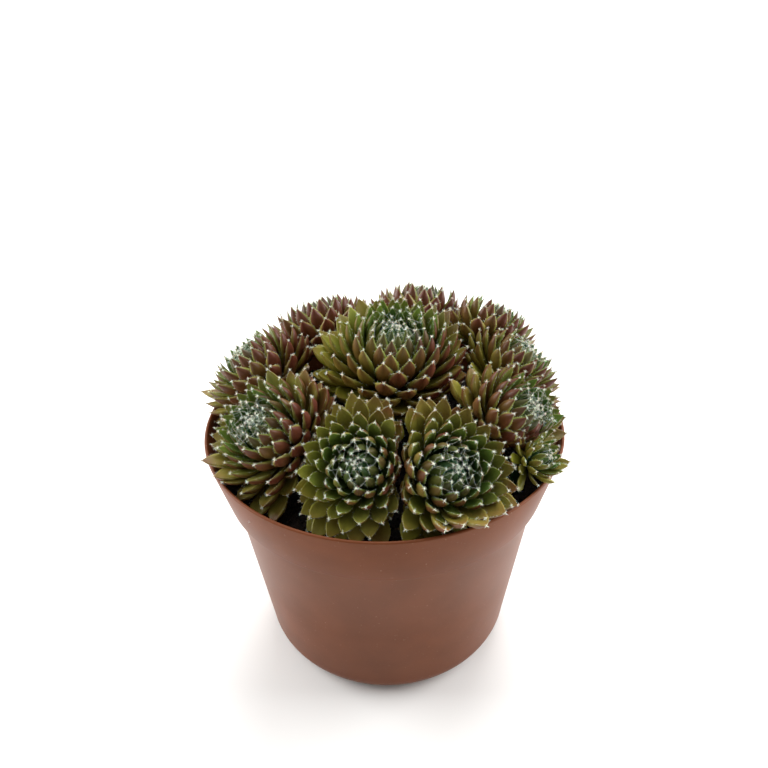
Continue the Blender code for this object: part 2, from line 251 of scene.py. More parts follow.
TURNS = 180
COLLAR_CORNER = 0.5 * MM
SHOULDER_OUT = 0.3 * MM
SHOULDER_DOWN = 0.4 * MM
collar_foot = POT_HEIGHT - COLLAR_HEIGHT
corner = (body_radius(FOOT_CORNER) - FOOT_CORNER, FOOT_CORNER)
lip = 0.5 * WALL
floor_edge = STANDING_RING_RADIUS - RAISED_FLOOR
pot_profile = (
    [(0, RAISED_FLOOR), (floor_edge, RAISED_FLOOR), (STANDING_RING_RADIUS, 0)]
    + arc(FOOT_CORNER, corner, -90, 0, 10)
    + [(body_radius(0.5 * collar_foot), 0.5 * collar_foot)]
    + [(BODY_TOP_RADIUS, collar_foot - SHOULDER_DOWN), (BODY_TOP_RADIUS + SHOULDER_OUT, collar_foot)]
    + arc(COLLAR_CORNER, (COLLAR_FOOT_RADIUS - COLLAR_CORNER, collar_foot + COLLAR_CORNER), -90, 0, 3)
    + arc(lip, (RIM_RADIUS - lip, POT_HEIGHT - lip), 0, 180, 8)
    + [(COLLAR_FOOT_RADIUS - WALL, collar_foot + WALL), (BODY_TOP_RADIUS - WALL, collar_foot)]
    + arc(FOOT_CORNER - WALL, corner, 0, -90, 8)
    + [(STANDING_RING_RADIUS + lip, WALL), (floor_edge - lip, RAISED_FLOOR + WALL), (0, RAISED_FLOOR + WALL)]
)
pot = bpy.data.objects.new("pot_blank", turned("pot_blank", pot_profile, TURNS))
bpy.context.scene.collection.objects.link(pot)
print("profile:", len(pot_profile), "points, blank:", len(pot.data.polygons), "faces")

# %% [markdown]
# ## The drain holes
#
# Water leaves a pot through holes in its floor. Six short round drills stand through the raised floor,
# and one Boolean modifier each cuts them out. The mesh that the modifiers give is kept, and the blank
# and the drills are deleted. Only edges sharper than 40 degrees stay sharp when it's shaded smooth.

# %% Cut the drain holes
DRAIN_HOLES = 6
DRAIN_CIRCLE = 24 * MM
DRAIN_RADIUS = 4 * MM
DRILL_LENGTH = 10 * MM
DRILL_SIDES = 40
SHARP_EDGE = math.radians(40)
drills = []
for k in range(DRAIN_HOLES):
    drill_profile = [(0, 0), (DRAIN_RADIUS, 0), (DRAIN_RADIUS, DRILL_LENGTH), (0, DRILL_LENGTH)]
    drill = bpy.data.objects.new("drill", turned("drill", drill_profile, DRILL_SIDES))
    turn = 2 * math.pi * k / DRAIN_HOLES
    drill.location = (DRAIN_CIRCLE * math.cos(turn), DRAIN_CIRCLE * math.sin(turn), 0)
    bpy.context.scene.collection.objects.link(drill)
    cut = pot.modifiers.new("drain", "BOOLEAN")
    cut.object = drill
    drills.append(drill)
bpy.context.view_layer.update()
pot_mesh = bpy.data.meshes.new_from_object(pot.evaluated_get(bpy.context.evaluated_depsgraph_get()))
for thing in [pot, *drills]:
    bpy.data.objects.remove(thing)
pot_mesh.name = "pot_moulding"
pot_mesh.shade_smooth()
pot_mesh.set_sharp_from_angle(angle=SHARP_EDGE)
add_piece("pot_moulding", pot_mesh, polypropylene, "pot")

# %% [markdown]
# ## The soil
#
# Potting soil is dark, damp peat and bark, black in the shade of the leaves, with a few paler fibres.
# The solid from the frame stays as the soil's body, because almost all of it is hidden. Its grain is
# 1.2 mm, and the pale flecks of fibre are 2.5 mm.

# %% Damp potting soil
peat, tree, shader = new_material("damp_peat", Roughness=0.9, IOR=1.4)
place = add_node(tree, "TexCoord", output="Object")
inputs = {"Vector": place, "Scale": 1 / (1.2 * MM), "Detail": 5, "Roughness": 0.7}
grain = add_node(tree, "TexNoise", inputs, "Fac")
damp = add_node(tree, "MapRange", {"Value": grain, "From Min": 0.35, "From Max": 0.7})
shade = add_node(tree, "Mix", {0: damp, 6: linear("#0D0907"), 7: linear("#2E2119")}, 2, data_type="RGBA")
inputs = {"Vector": place, "Scale": 1 / (2.5 * MM), "Detail": 2, "Roughness": 0.55}
fibre = add_node(tree, "TexNoise", inputs, "Fac")
fibre = add_node(tree, "MapRange", {"Value": fibre, "From Min": 0.68, "From Max": 0.74})
shade = add_node(tree, "Mix", {0: fibre, 6: shade, 7: linear("#6B5238")}, 2, data_type="RGBA")
tree.links.new(shade, shader.inputs["Base Color"])
lumps = add_node(tree, "Bump", {"Strength": 0.8, "Distance": 0.6 * MM, "Height": grain})
tree.links.new(lumps, shader.inputs["Normal"])
soil_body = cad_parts["soil"]
soil_body.data.materials.clear()
soil_body.data.materials.append(peat)
print(peat.name, "with", len(tree.nodes), "nodes, on the solid", soil_body.name)

# %% [markdown]
# ## The soil's crumbs
#
# Loose crumbs lie on top of the soil, most of them small and a few up to about 3 mm across. Each is a
# small ball, made lumpy by moving its corners, and all of them are one mesh. A particle system could
# scatter them, but a loop with a seeded random generator gives the same crumbs each time.

# %% Scatter the crumbs
CRUMBS = 2600
CRUMB_RADIUS = 0.5 * MM
CRUMB_HEAP_MM = 1.4
CRUMB_LUMPINESS = (0.6, 1.3)
SOIL_RADIUS = 60 * MM
draw = random.Random(11)
crumb_work = bmesh.new()
for k in range(CRUMBS):
    radius = SOIL_RADIUS * math.sqrt(draw.random())
    turn = draw.uniform(0, 2 * math.pi)
    size = CRUMB_RADIUS * (0.7 + 2.2 * draw.random() ** 3)
    level = SOIL_LEVEL + draw.uniform(0, CRUMB_HEAP_MM) * MM
    place = Vector((radius * math.cos(turn), radius * math.sin(turn), level))
    made = bmesh.ops.create_icosphere(crumb_work, subdivisions=1, radius=size)
    for vertex in made["verts"]:
        rough = Vector([draw.uniform(*CRUMB_LUMPINESS) for _ in range(3)])
        vertex.co = Vector([a * b for a, b in zip(vertex.co, rough)]) + place
crumb_mesh = bpy.data.meshes.new("soil_crumbs")
crumb_work.to_mesh(crumb_mesh)
crumb_work.free()
crumb_mesh.shade_smooth()
add_piece("soil_crumbs", crumb_mesh, peat, None)

# %% [markdown]
# ## Where the rosettes sit
#
# Houseleek leaves follow a spiral: each new leaf stands 137.5 degrees round from the one before it, so
# no leaf hides another. A rosette is therefore a rule and not a drawing. It's given by its crown's
# place, its lean, its reach and its number of leaves. The table below repeats the frame's rosettes, with
# about four times as many leaves, and adds three numbers for looks: how red, how yellow and how woolly
# it is. The lean is from upright and the compass from the viewer's side, both in degrees, and the reach
# is the length of the outer leaves in millimetres.

# %% The rosettes
ROSETTES = (
    # name, crown (mm from the rim's centre), lean, compass, reach, leaves, red, yellow, wool
    ("hen", (5, 4, 34), 9, 20, 34.5, 170, 0.78, 0.7, 0.3),
    ("chick_front", (-9, -48, 16), 43, -10, 26.0, 130, 0.5, 0.45, 0.4),
    ("chick_front_right", (21.5, -50, 15), 43, 20, 28.0, 140, 0.62, 0.4, 0.4),
    ("chick_right", (50, -22, 17), 44, 66, 27.0, 118, 0.8, 0.25, 1.2),
    ("chick_right_rear", (53, 9, 21), 38, 98, 24.5, 108, 0.5, 0.30, 1.0),
    ("chick_rear_right", (46, 35, 25), 34, 127, 24.5, 104, 0.65, 0.15, 1.0),
    ("chick_rear", (18, 49, 27), 28, 160, 27.0, 104, 0.95, 0.10, 0.4),
    ("chick_rear_left", (-27, 46, 23), 32, -148, 28.0, 106, 1.0, 0.05, 0.4),
    ("chick_left", (-52, 14, 20), 40, -104, 27.0, 116, 0.85, 0.15, 1.2),
    ("chick_front_left", (-43, -26, 17), 39, -58, 28.5, 140, 0.82, 0.15, 1.2),
    ("offset_right", (53, -35, 7), 52, 56, 13.0, 50, 0.15, 0.50, 0.3),
)
RED_ROSETTES = ("chick_rear", "chick_rear_left")
print(len(ROSETTES), "rosettes with", sum(row[5] for row in ROSETTES), "leaves to grow")

# %% [markdown]
# ## The room that each rosette has
#
# Crowded rosettes press against each other but don't grow through each other. So a border stands
# between the hearts of each two, nearer to the smaller one, and a leaf has to stay on its own side.
# A flat border would leave a straight dark slit, which a real plant never has, so the border ripples
# by about a millimetre, as interleaved tips do. The other limits are the soil and the pot's rim.

# %% Borders between neighbours
HEART_DEPTH = 0.50
NEIGHBOUR_GAP = 0.15 * MM
RIM_GAP = 0.5 * MM
SOIL_GAP = 1.2 * MM
WAVE = 1.1 * MM
WAVE_LENGTH = 9 * MM
RIPPLE = np.array([0.55, 0.45, 0.70]) * 2 * math.pi / WAVE_LENGTH


class Rosette:
    """One rosette's place, and the room that it has among its neighbours."""

    def __init__(self, row, number):
        self.name, crown, lean, compass, reach, self.leaves, self.red, self.yellow, self.wool = row
        lean, compass = math.radians(lean), math.radians(compass)
        leaning = [math.sin(lean) * math.sin(compass), -math.sin(lean) * math.cos(compass), math.cos(lean)]
        self.axis = np.array(leaning)
        self.reach = reach * MM
        self.heart = np.array(crown) * MM + [0, 0, POT_HEIGHT] - HEART_DEPTH * self.reach * self.axis
        self.side = np.cross([0.0, 1.0, 0.0], self.axis)
        self.side /= np.linalg.norm(self.side)
        self.ahead = np.cross(self.axis, self.side)
        self.number = number
        self.slot = "leaf_red" if self.name in RED_ROSETTES else "leaf_green"
        self.walls = []

    def find_walls(self, others):
        """The borders to the other rosettes, as (direction, distance from the heart, side of the wave)."""
        for other in others:
            if other is not self:
                apart = other.heart - self.heart
                distance = np.linalg.norm(apart)
                share = self.reach / (self.reach + other.reach)
                wave = WAVE if self.number < other.number else -WAVE
                self.walls.append((apart / distance, share * distance - NEIGHBOUR_GAP, wave))

    def clear_of_others(self, points, room):
        """True where points stay on this rosette's side of its borders."""
        ripple = np.sin(points @ RIPPLE)
        away = points - self.heart
        return all((away @ normal - wave * ripple).max() < limit - room for normal, limit, wave in self.walls)

    def clear_of_pot(self, points):
        """True where points keep above the soil and, further out, above the rim."""
        inside = np.hypot(points[:, 0], points[:, 1]) < RIM_RADIUS - WALL - RIM_GAP
        return bool((points[:, 2] > np.where(inside, SOIL_LEVEL + SOIL_GAP, POT_HEIGHT + RIM_GAP)).all())


rosettes = [Rosette(row, k) for k, row in enumerate(ROSETTES)]
for rosette in rosettes:
    rosette.find_walls(rosettes)
print("each rosette has", len(rosettes[0].walls), "borders")

# %% [markdown]
# ## One leaf
#
# A houseleek leaf is fat and fleshy: nearly flat on its inner face, keeled on its back, broadest three
# quarters of the way up, and drawn to a short point. It could be a subdivided box, bent by hand, but
# there are over a thousand, so each is a grid of points worked out from its age. Its outline comes first.

# %% A leaf's outline
STATIONS = np.array([0.0, 0.12, 0.26, 0.40, 0.53, 0.64, 0.73, 0.80, 0.86, 0.91, 0.95, 0.98, 1.0])
ROUND = 10
AROUND = np.arange(ROUND) * 2 * math.pi / ROUND
BROADEST = 0.76
FOOT_WIDTH = 0.60
FOOT_CURVE = 1.4
TIP_CURVE = 1.6
LEAST_WIDTH = 0.012


def leaf_outline(t):
    """Half width along a leaf, as a share of its greatest: a narrow foot, a broad shoulder, a point."""
    widening = np.sin(0.5 * np.pi * np.clip(t / BROADEST, 0, 1)) ** FOOT_CURVE
    foot = FOOT_WIDTH + (1 - FOOT_WIDTH) * widening
    tip = 1 - np.clip((t - BROADEST) / (1 - BROADEST), 0, 1) ** TIP_CURVE
    return np.where(t < BROADEST, foot, tip) + LEAST_WIDTH


print("half widths:", [round(float(width), 2) for width in leaf_outline(STATIONS)])

# %% [markdown]
# ## From bud to outer leaf
#
# Age runs from 0 at the bud's centre to 1 at the outermost leaf. The youngest leaves are short and
# narrow and curl over the bud. With age they open, and they lengthen and broaden. The leaf's middle line
# is a curve between its root, a bend and its tip, drawn in the plane of the rosette's axis and the
# direction in which the leaf points. Lengths are shares of the rosette's reach, and a pair of numbers
# gives a value at the bud's centre and how much it changes with age.

# %% A leaf's points
OUTER_ANGLE = math.radians(98)
BUD_LEAN = math.radians(-14)
OPENING = 0.8
BUD_LENGTH = 0.46
LENGTHENING = 0.56
STANDING_LENGTH = 0.93
LYING_LENGTH = 0.07
ROOT_OUT = (0.10, 0.15)
ROOT_UP = (0.08, -0.24)
BEND_ANGLE = (46, -36)
BEND_AT = 0.52
LEAF_WIDTH = 0.27
BUD_WIDTH = 0.24
BROADENING = 0.75
INNER_FACE = 0.16
KEEL = 0.56
CUP = 0.24


def leaf_grid(rosette, age, turn, squeeze, length, spin=0.0, width=1.0):
    """A leaf's points, as a grid of stations by points round, with the tip's place and direction."""
    out = math.cos(turn) * rosette.side + math.sin(turn) * rosette.ahead
    across = np.cross(rosette.axis, out)
    reach = rosette.reach
    tip_angle = BUD_LEAN + (OUTER_ANGLE - BUD_LEAN) * age**OPENING
    tip_angle *= squeeze if tip_angle > 0 else 1
    standing = STANDING_LENGTH + LYING_LENGTH * squeeze
    tip_reach = (BUD_LENGTH + LENGTHENING * age**OPENING) * reach * length * standing
    root_out = ROOT_OUT[0] + ROOT_OUT[1] * age * squeeze
    root = np.array([root_out, ROOT_UP[0] + ROOT_UP[1] * age]) * reach
    tip = tip_reach * np.array([math.sin(tip_angle), math.cos(tip_angle)])
    chord = tip - root
    root_lean = math.atan2(chord[0], chord[1]) + math.radians(BEND_ANGLE[0] + BEND_ANGLE[1] * age)
    bend = root + BEND_AT * np.linalg.norm(chord) * np.array([math.sin(root_lean), math.cos(root_lean)])
    t = STATIONS[:, None]
    line = (1 - t) ** 2 * root + 2 * t * (1 - t) * bend + t**2 * tip
    slope = 2 * (1 - t) * (bend - root) + 2 * t * (tip - bend)
    slope /= np.linalg.norm(slope, axis=1)[:, None]
    broad = BUD_WIDTH + (1 - BUD_WIDTH) * age**BROADENING
    half = 0.5 * LEAF_WIDTH * reach * broad * width * leaf_outline(STATIONS)
    x = half[:, None] * np.cos(AROUND)
    rise = np.sin(AROUND)
    thick = np.where(rise > 0, INNER_FACE * rise, KEEL * rise) * half[:, None]
    inner = thick + CUP * half[:, None] * np.cos(AROUND) ** 2
    middle = rosette.heart + line[:, :1] * out + line[:, 1:] * rosette.axis
    facing = -slope[:, 1:] * out + slope[:, :1] * rosette.axis
    side = across * math.cos(spin) + facing * math.sin(spin)
    face = facing * math.cos(spin) - across * math.sin(spin)
    grid = middle[:, None, :] + x[:, :, None] * side[:, None, :] + inner[:, :, None] * face[:, None, :]
    pointing = slope[-1, 0] * out + slope[-1, 1] * rosette.axis
    return grid, middle[-1], pointing


sample = leaf_grid(rosettes[0], 1.0, 0.0, 1.0, 1.0)[0]
broadest = np.linalg.norm(sample[:, 0] - sample[:, ROUND // 2], axis=1).max()
print("the hen's outermost leaf is", round(float(broadest) / MM, 1), "mm broad")

# %% [markdown]
# ## Leaves that fit
#
# Young leaves stand round the bud, and old ones lie out flat. Where a neighbour is in the way, a leaf
# stays shorter, as a crowded leaf does, and if even a short one doesn't fit it stands up more steeply.
# Where the rim or the soil is in the way, every other leaf is shy and does the same, and the rest keep
# their length and stand up. So the rim isn't lined with upright leaves. Small random turns, widths and
# lengths keep the spiral from looking machine-made.

# %% Fit and grow
GOLDEN_ANGLE = math.radians(137.508)
SQUEEZES = np.linspace(1.0, 0.2, 17)
SHORTENINGS = np.linspace(1.0, 0.55, 16)
MOST_ROOM = 0.3 * MM
HIDDEN_STATIONS = 2
LEAF_SEED = 500
TURN_JITTER = 4
SPIN_JITTER = 9
WIDTHS = (0.92, 1.08)
LENGTHS = (0.95, 1.04)


def fit_leaf(rosette, room, shy, age, turn, long, spin, width):
    """The flattest leaf that fits, as long as there is room for. One that isn't shy stands up at the rim."""
    for squeeze in SQUEEZES:
        for shorter in SHORTENINGS:
            leaf = leaf_grid(rosette, age, turn, squeeze, long * shorter, spin, width)
            skin = leaf[0][HIDDEN_STATIONS:].reshape(-1, 3)
            if rosette.clear_of_others(skin, room):
                if rosette.clear_of_pot(skin):
                    return leaf
                if not shy:
                    break
    return None


def grow(rosette):
    """Every leaf of a rosette that finds room: (age, grid, tip, pointing)."""
    draw = random.Random(LEAF_SEED + rosette.number)
    leaves = []
    for k in range(rosette.leaves):
        age = (k + 0.5) / rosette.leaves
        turn = k * GOLDEN_ANGLE + math.radians(draw.uniform(-TURN_JITTER, TURN_JITTER))
        spin = math.radians(draw.uniform(-SPIN_JITTER, SPIN_JITTER))
        width = draw.uniform(*WIDTHS)
        long = draw.uniform(*LENGTHS)
        room = draw.uniform(0, MOST_ROOM)
        leaf = fit_leaf(rosette, room, k % 2, age, turn, long, spin, width)
        if leaf:
            leaves.append((age, *leaf))
    return leaves


grown = {rosette.name: grow(rosette) for rosette in rosettes}
print({rosette.name: (rosette.leaves, len(grown[rosette.name])) for rosette in rosettes})

# %% [markdown]
# ## The leaves' tissue
#
# Houseleek leaves are water-filled tissue under a waxy skin: satin, with light scattering a millimetre
# or so into them. Water and thin wax give an index of refraction of about 1.4. The surface's pores are
# too fine to show, so its bumps are drawn at half a millimetre. Each leaf's mesh carries a few numbers:
# its age, how far along it and how near its edge a point is, which side it's on, and the leaf's own
# redness and yellowness. The shader turns them to shares from 0 to 1.

# %% Fleshy leaf
LEAF_SOCKETS = {"Roughness": 0.40, "IOR": 1.40, "Subsurface_Weight": 0.12, "Subsurface_Scale": 1.2 * MM}
LEAF_NOISES = {"mottle": (2.2, 4, 0.6), "patches": (9, 2, 0.55), "pores": (0.5, 3, 0.55)}
CARRIED = ("age", "along", "edge", "back", "redness", "yellowness")
leaf_tissue, tree, shader = new_material("fleshy_leaf", Subsurface_Radius=(0.8, 1.0, 0.3), **LEAF_SOCKETS)
value = {name: add_node(tree, "Attribute", None, "Fac", attribute_name=name) for name in CARRIED}
place = add_node(tree, "TexCoord", output="Object")
for name, (size, detail, roughness) in LEAF_NOISES.items():
    inputs = {"Vector": place, "Scale": 1 / (size * MM), "Detail": detail, "Roughness": roughness}
    value[name] = add_node(tree, "TexNoise", inputs, "Fac")
part = add_node(tree, "Math", {0: value["along"], 1: 0.35}, operation="MULTIPLY")
value["red_by_tip"] = add_node(tree, "Math", {0: value["redness"], 1: part}, operation="ADD")
share = {}
for name, source, low, high in (
    ("young", "age", 0.34, 0.10),
    ("grown_up", "age", 0.35, 0.75),
    ("patches", "patches", 0.35, 0.65),
    ("red_back", "red_by_tip", 0.30, 0.90),
    ("tip", "along", 0.82, 1.0),
    ("margin", "edge", 0.78, 1.0),
    ("upper", "along", 0.30, 0.65),
    ("uneven", "mottle", 0.30, 0.70),
    ("foot", "along", 0.45, 0.05),
):
    share[name] = add_node(tree, "MapRange", {"Value": value[source], "From Min": low, "From Max": high})
print(leaf_tissue.name, "reads", ", ".join(CARRIED))

# %% [markdown]
# ## The leaves' colours
#
# Sun turns the backs of the leaves maroon, the inner faces stay olive green, the oldest leaves go yellow
# and orange, and the bud is a cold dark green. A painted highlight makes the thin margins pale, for light
# shining through them, and painted shade darkens the leaves' feet. Each colour is laid over the ones
# before it, as a painter glazes, and where a layer depends on several shares they are multiplied.

# %% Mix the leaves' colours
mottled = {}
for name, dark, pale in (
    ("deep_green", "#12381F", "#235A35"),
    ("young_face", "#44692D", "#718A36"),
    ("olive", "#6E6A2B", "#9C8F3E"),
    ("back_green", "#606427", "#8C7C36"),
    ("back_red", "#431C16", "#74402B"),
):
    inputs = {0: value["mottle"], 6: linear(dark), 7: linear(pale)}
    mottled[name] = add_node(tree, "Mix", inputs, 2, data_type="RGBA")
for name, *factors in (
    ("worn", value["redness"], share["grown_up"], share["patches"], 0.85),
    ("blush", share["tip"], value["redness"], 0.8, share["grown_up"]),
    # painted highlight: the margins' upper halves made paler, for light shining through them
    ("painted_margin_light", share["margin"], share["upper"], share["uneven"], 0.45),
    # painted shade at the leaves' feet
    ("shaded_foot", share["foot"], 0.8),
):
    share[name] = factors[0]
    for factor in factors[1:]:
        share[name] = add_node(tree, "Math", {0: share[name], 1: factor}, operation="MULTIPLY")
inputs = {0: share["red_back"], 6: mottled["back_green"], 7: mottled["back_red"]}
back_face = add_node(tree, "Mix", inputs, 2, data_type="RGBA")
shade = mottled["young_face"]
for layer_share, layer in (
    (share["grown_up"], mottled["olive"]),
    (share["worn"], linear("#6E4428")),
    (value["back"], back_face),
    (share["young"], mottled["deep_green"]),
    (value["yellowness"], linear("#A3A836")),
    (share["blush"], linear("#6B2A1C")),
    # painted highlight on the margins, for light shining through them
    (share["painted_margin_light"], linear("#A9A94C")),
    # painted shade at the leaves' feet
    (share["shaded_foot"], linear("#26381A")),
):
    shade = add_node(tree, "Mix", {0: layer_share, 6: shade, 7: layer}, 2, data_type="RGBA")
tree.links.new(shade, shader.inputs["Base Color"])
pores = add_node(tree, "Bump", {"Strength": 0.25, "Distance": 0.08 * MM, "Height": value["pores"]})
tree.links.new(pores, shader.inputs["Normal"])
print(leaf_tissue.name, "with", len(tree.nodes), "nodes")

# %% [markdown]
# ## Stems and hearts
#
# A short stem carries each rosette and goes down into the soil, and a small dome fills its heart, as a
# real rosette has under its leaves. Both are round tubes along a path. A curve with a bevel could give
# them, but plain points and faces can join the leaves in one mesh.

# %% Tubes, stem and dome
STEM_RADIUS = 2.4 * MM
STEM_DEPTH = 12 * MM
STEM_CLEARANCE = 12 * MM
STEM_SET_BACK = 0.45
DOME_LENGTH = 0.30
DOME_RADIUS = 0.24
DOME_END = 0.02


def stem_foot(rosette):
    """Where the stem goes into the soil."""
    back_point = rosette.heart - STEM_SET_BACK * rosette.reach * rosette.axis * np.array([1, 1, 0])
    limit = RIM_RADIUS - STEM_CLEARANCE
    share = min(1.0, limit / math.hypot(back_point[0], back_point[1]))
    return np.array([back_point[0] * share, back_point[1] * share, 0])


def tube(path, radii, sides):
    """Points and faces of a round tube along a path."""
    points, faces = [], []
    for row, (here, radius) in enumerate(zip(path, radii)):
        forward = path[min(row + 1, len(path) - 1)] - path[max(row - 1, 0)]
        forward = forward / np.linalg.norm(forward)
        first = np.cross(forward, [0.3, 1.0, 0.1])
        first /= np.linalg.norm(first)
        second = np.cross(forward, first)
        for k in range(sides):
            turn = 2 * math.pi * k / sides
            points.append(here + radius * (math.cos(turn) * first + math.sin(turn) * second))
    for row in range(len(path) - 1):
        for k in range(sides):
            n = (k + 1) % sides
            low, high = row * sides, (row + 1) * sides
            faces.append((low + k, low + n, high + n, high + k))
    return points, faces


def dome(rosette, rows=8, sides=20):
    """The heart's small dome, as a tube that narrows to almost nothing at both ends."""
    angles = np.linspace(DOME_END, math.pi - DOME_END, rows)
    path = [rosette.heart - math.cos(a) * DOME_LENGTH * rosette.reach * rosette.axis for a in angles]
    return tube(path, [DOME_RADIUS * rosette.reach * math.sin(a) for a in angles], sides)


print("the hen's stem goes in at", [round(float(x) / MM, 1) for x in stem_foot(rosettes[0])[:2]], "mm")

# %% [markdown]
# ## Grow the rosettes
#
# All of one rosette's leaves are written into one mesh at once, as numpy arrays, which is much faster
# than one object a leaf. Each leaf draws its own redness and yellowness: leaves that point to the right
# are a little redder, leaves that point to the left are yellower, and the oldest are the yellowest.

# %% Leaves, dome and stem into one mesh
COLOUR_SEED = 900
RED_TO_THE_RIGHT = 0.22
OLD = 0.75
YELLOW_ANYWHERE = 0.25
YELLOW_WHEN_OLD = 1.3
YELLOW_TO_THE_LEFT = 0.9
HEART_VALUES = (0.1, 0.2, 0.0, 1.0, 0.2, 0.0)
BEHIND_FACE = -0.01
STEM_SIDES = 12
STEM_BEND = 0.40
STEM_ABOVE_SOIL = 1.6 * MM


def leaf_faces():
    """The four-sided faces between a leaf's stations, as numbers of its points."""
    ring = np.arange(ROUND)
    n = (ring + 1) % ROUND
    rows = []
    for row in range(len(STATIONS) - 1):
        low, high = row * ROUND, (row + 1) * ROUND
        rows.append(np.stack([low + ring, low + n, high + n, high + ring], axis=1))
    return np.concatenate(rows)


def rosette_mesh(rosette, leaves):
    """One mesh of a rosette's leaves, dome and stem, with the values that the leaves carry."""
    draw = random.Random(COLOUR_SEED + rosette.number)
    points, faces, values = [], [], {name: [] for name in CARRIED}
    rows, start = len(STATIONS), 0
    ring, quads = np.arange(ROUND), leaf_faces()
    size = rows * ROUND
    for age, grid, tip, _ in leaves:
        points.append(grid.reshape(-1, 3))
        faces.extend((quads + start).tolist())
        faces.append((start + ring[::-1]).tolist())
        faces.append((start + (rows - 1) * ROUND + ring).tolist())
        sideways = (tip[0] - rosette.heart[0]) / rosette.reach
        red = rosette.red * draw.uniform(0.5, 1.5) + RED_TO_THE_RIGHT * sideways
        old = max(0.0, (age - OLD) / (1 - OLD))
        yellow = YELLOW_ANYWHERE * draw.random() + YELLOW_WHEN_OLD * old * draw.random()
        yellow = rosette.yellow * (yellow - YELLOW_TO_THE_LEFT * sideways * age)
        values["age"].append(np.full(size, age))
        values["along"].append(np.repeat(STATIONS, ROUND))
        values["edge"].append(np.tile(np.abs(np.cos(AROUND)), rows))
        values["back"].append(np.tile((np.sin(AROUND) < BEHIND_FACE).astype(float), rows))
        values["redness"].append(np.full(size, min(max(red, 0), 1)))
        values["yellowness"].append(np.full(size, min(max(yellow, 0), 1)))
        start += size
    foot = stem_foot(rosette)
    path = [rosette.heart, rosette.heart - STEM_BEND * rosette.reach * rosette.axis]
    path += [foot + [0, 0, SOIL_LEVEL + STEM_ABOVE_SOIL], foot + [0, 0, SOIL_LEVEL - STEM_DEPTH]]
    for more, links in (dome(rosette), tube(path, [STEM_RADIUS] * len(path), STEM_SIDES)):
        points.append(np.array(more))
        faces.extend([tuple(start + i for i in face) for face in links])
        for name, fixed in zip(CARRIED, HEART_VALUES):
            values[name].append(np.full(len(more), fixed))
        start += len(more)
    mesh = bpy.data.meshes.new(rosette.name + "_leaves")
    mesh.from_pydata(np.concatenate(points).tolist(), [], faces)
    for name in CARRIED:
        layer = mesh.attributes.new(name, "FLOAT", "POINT")
        layer.data.foreach_set("value", np.concatenate(values[name]).astype(np.float32))
    mesh.shade_smooth()
    return mesh


for rosette in rosettes:
    mesh = rosette_mesh(rosette, grown[rosette.name])
    add_piece(rosette.name + "_leaves", mesh, leaf_tissue, rosette.name)

# %% [markdown]
# ## The white down
#
# Each leaf ends in a tuft of fine white hairs and has a fringe of them along its edges, and threads like
# cobweb join the tips of the youngest leaves. Real hairs are finer than a pixel of the photograph, so
# they're drawn thicker than life, or they'd vanish: a tuft's hairs are 0.2 mm across at their foot, the
# fringe's are 0.08 mm and the threads are 0.05 mm. They throw light back in all directions, so they look
# white and soft, a little creamier in places.

# %% White down
DOWN_SOCKETS = {"Roughness": 0.6, "IOR": 1.5, "Subsurface_Weight": 0.2, "Subsurface_Scale": 0.5 * MM}
down, tree, shader = new_material("white_down", **DOWN_SOCKETS)
place = add_node(tree, "TexCoord", output="Object")
inputs = {"Vector": place, "Scale": 1 / (3.0 * MM), "Detail": 2, "Roughness": 0.55}
creamy = add_node(tree, "TexNoise", inputs, "Fac")
tint = add_node(tree, "Mix", {0: creamy, 6: linear("#F6F5EC"), 7: linear("#DCE0CC")}, 2, data_type="RGBA")
tree.links.new(tint, shader.inputs["Base Color"])
print(down.name, "with", len(tree.nodes), "nodes")

# %% [markdown]
# ## Hairs and threads
#
# Hair curves wouldn't be kept as a mesh, so each hair is a three-sided spike, and each cobweb thread a
# thin three-sided tube that sags a little between the tips of two leaves.

# %% Spikes and threads
THREAD_RADIUS = 0.024 * MM
THREAD_SLACK = 0.12
CORNERS = (0.0, 2.094, 4.189)


def random_direction(draw):
    """A direction that is as likely to point one way as any other."""
    vector = np.array([draw.gauss(0, 1) for _ in range(3)])
    return vector / np.linalg.norm(vector)


def spikes(feet, directions, lengths, radius):
    """Points and faces of many hairs: three points round each foot and one at its tip."""
    feet, directions, lengths = np.array(feet), np.array(directions), np.array(lengths)
    directions /= np.linalg.norm(directions, axis=1)[:, None]
    first = np.cross(directions, [0.31, 0.87, 0.38])
    first /= np.linalg.norm(first, axis=1)[:, None]
    second = np.cross(directions, first)
    rings = [feet + radius * (math.cos(t) * first + math.sin(t) * second) for t in CORNERS]
    points = np.stack([*rings, feet + directions * lengths[:, None]], axis=1).reshape(-1, 3)
    links = np.array([(0, 1, 3), (1, 2, 3), (2, 0, 3), (0, 2, 1)])
    faces = (np.arange(len(feet))[:, None, None] * 4 + links).reshape(-1, 3)
    return points.tolist(), faces.tolist()


def add_thread(points, faces, first_end, last_end, draw):
    """A cobweb thread between two leaf tips, a little slack."""
    slack = random_direction(draw) * np.linalg.norm(last_end - first_end) * THREAD_SLACK
    path = [first_end + (last_end - first_end) * s + slack * 4 * s * (1 - s) for s in np.linspace(0, 1, 5)]
    more, links = tube(path, [THREAD_RADIUS] * len(path), 3)
    start = len(points)
    points.extend(more)
    faces.extend([tuple(start + i for i in face) for face in links])


print("threads are", round(2 * THREAD_RADIUS / MM, 3), "mm across")

# %% [markdown]
# ## Cover the rosettes
#
# A tuft's hairs spread from the tip, mostly the way that it points. The fringe's hairs stand out from
# the upper half of both edges. Small rosettes have shorter hairs. Each thread ties a young leaf's tip to
# one of its four nearest neighbours, and the woollier the rosette, the more threads it has.

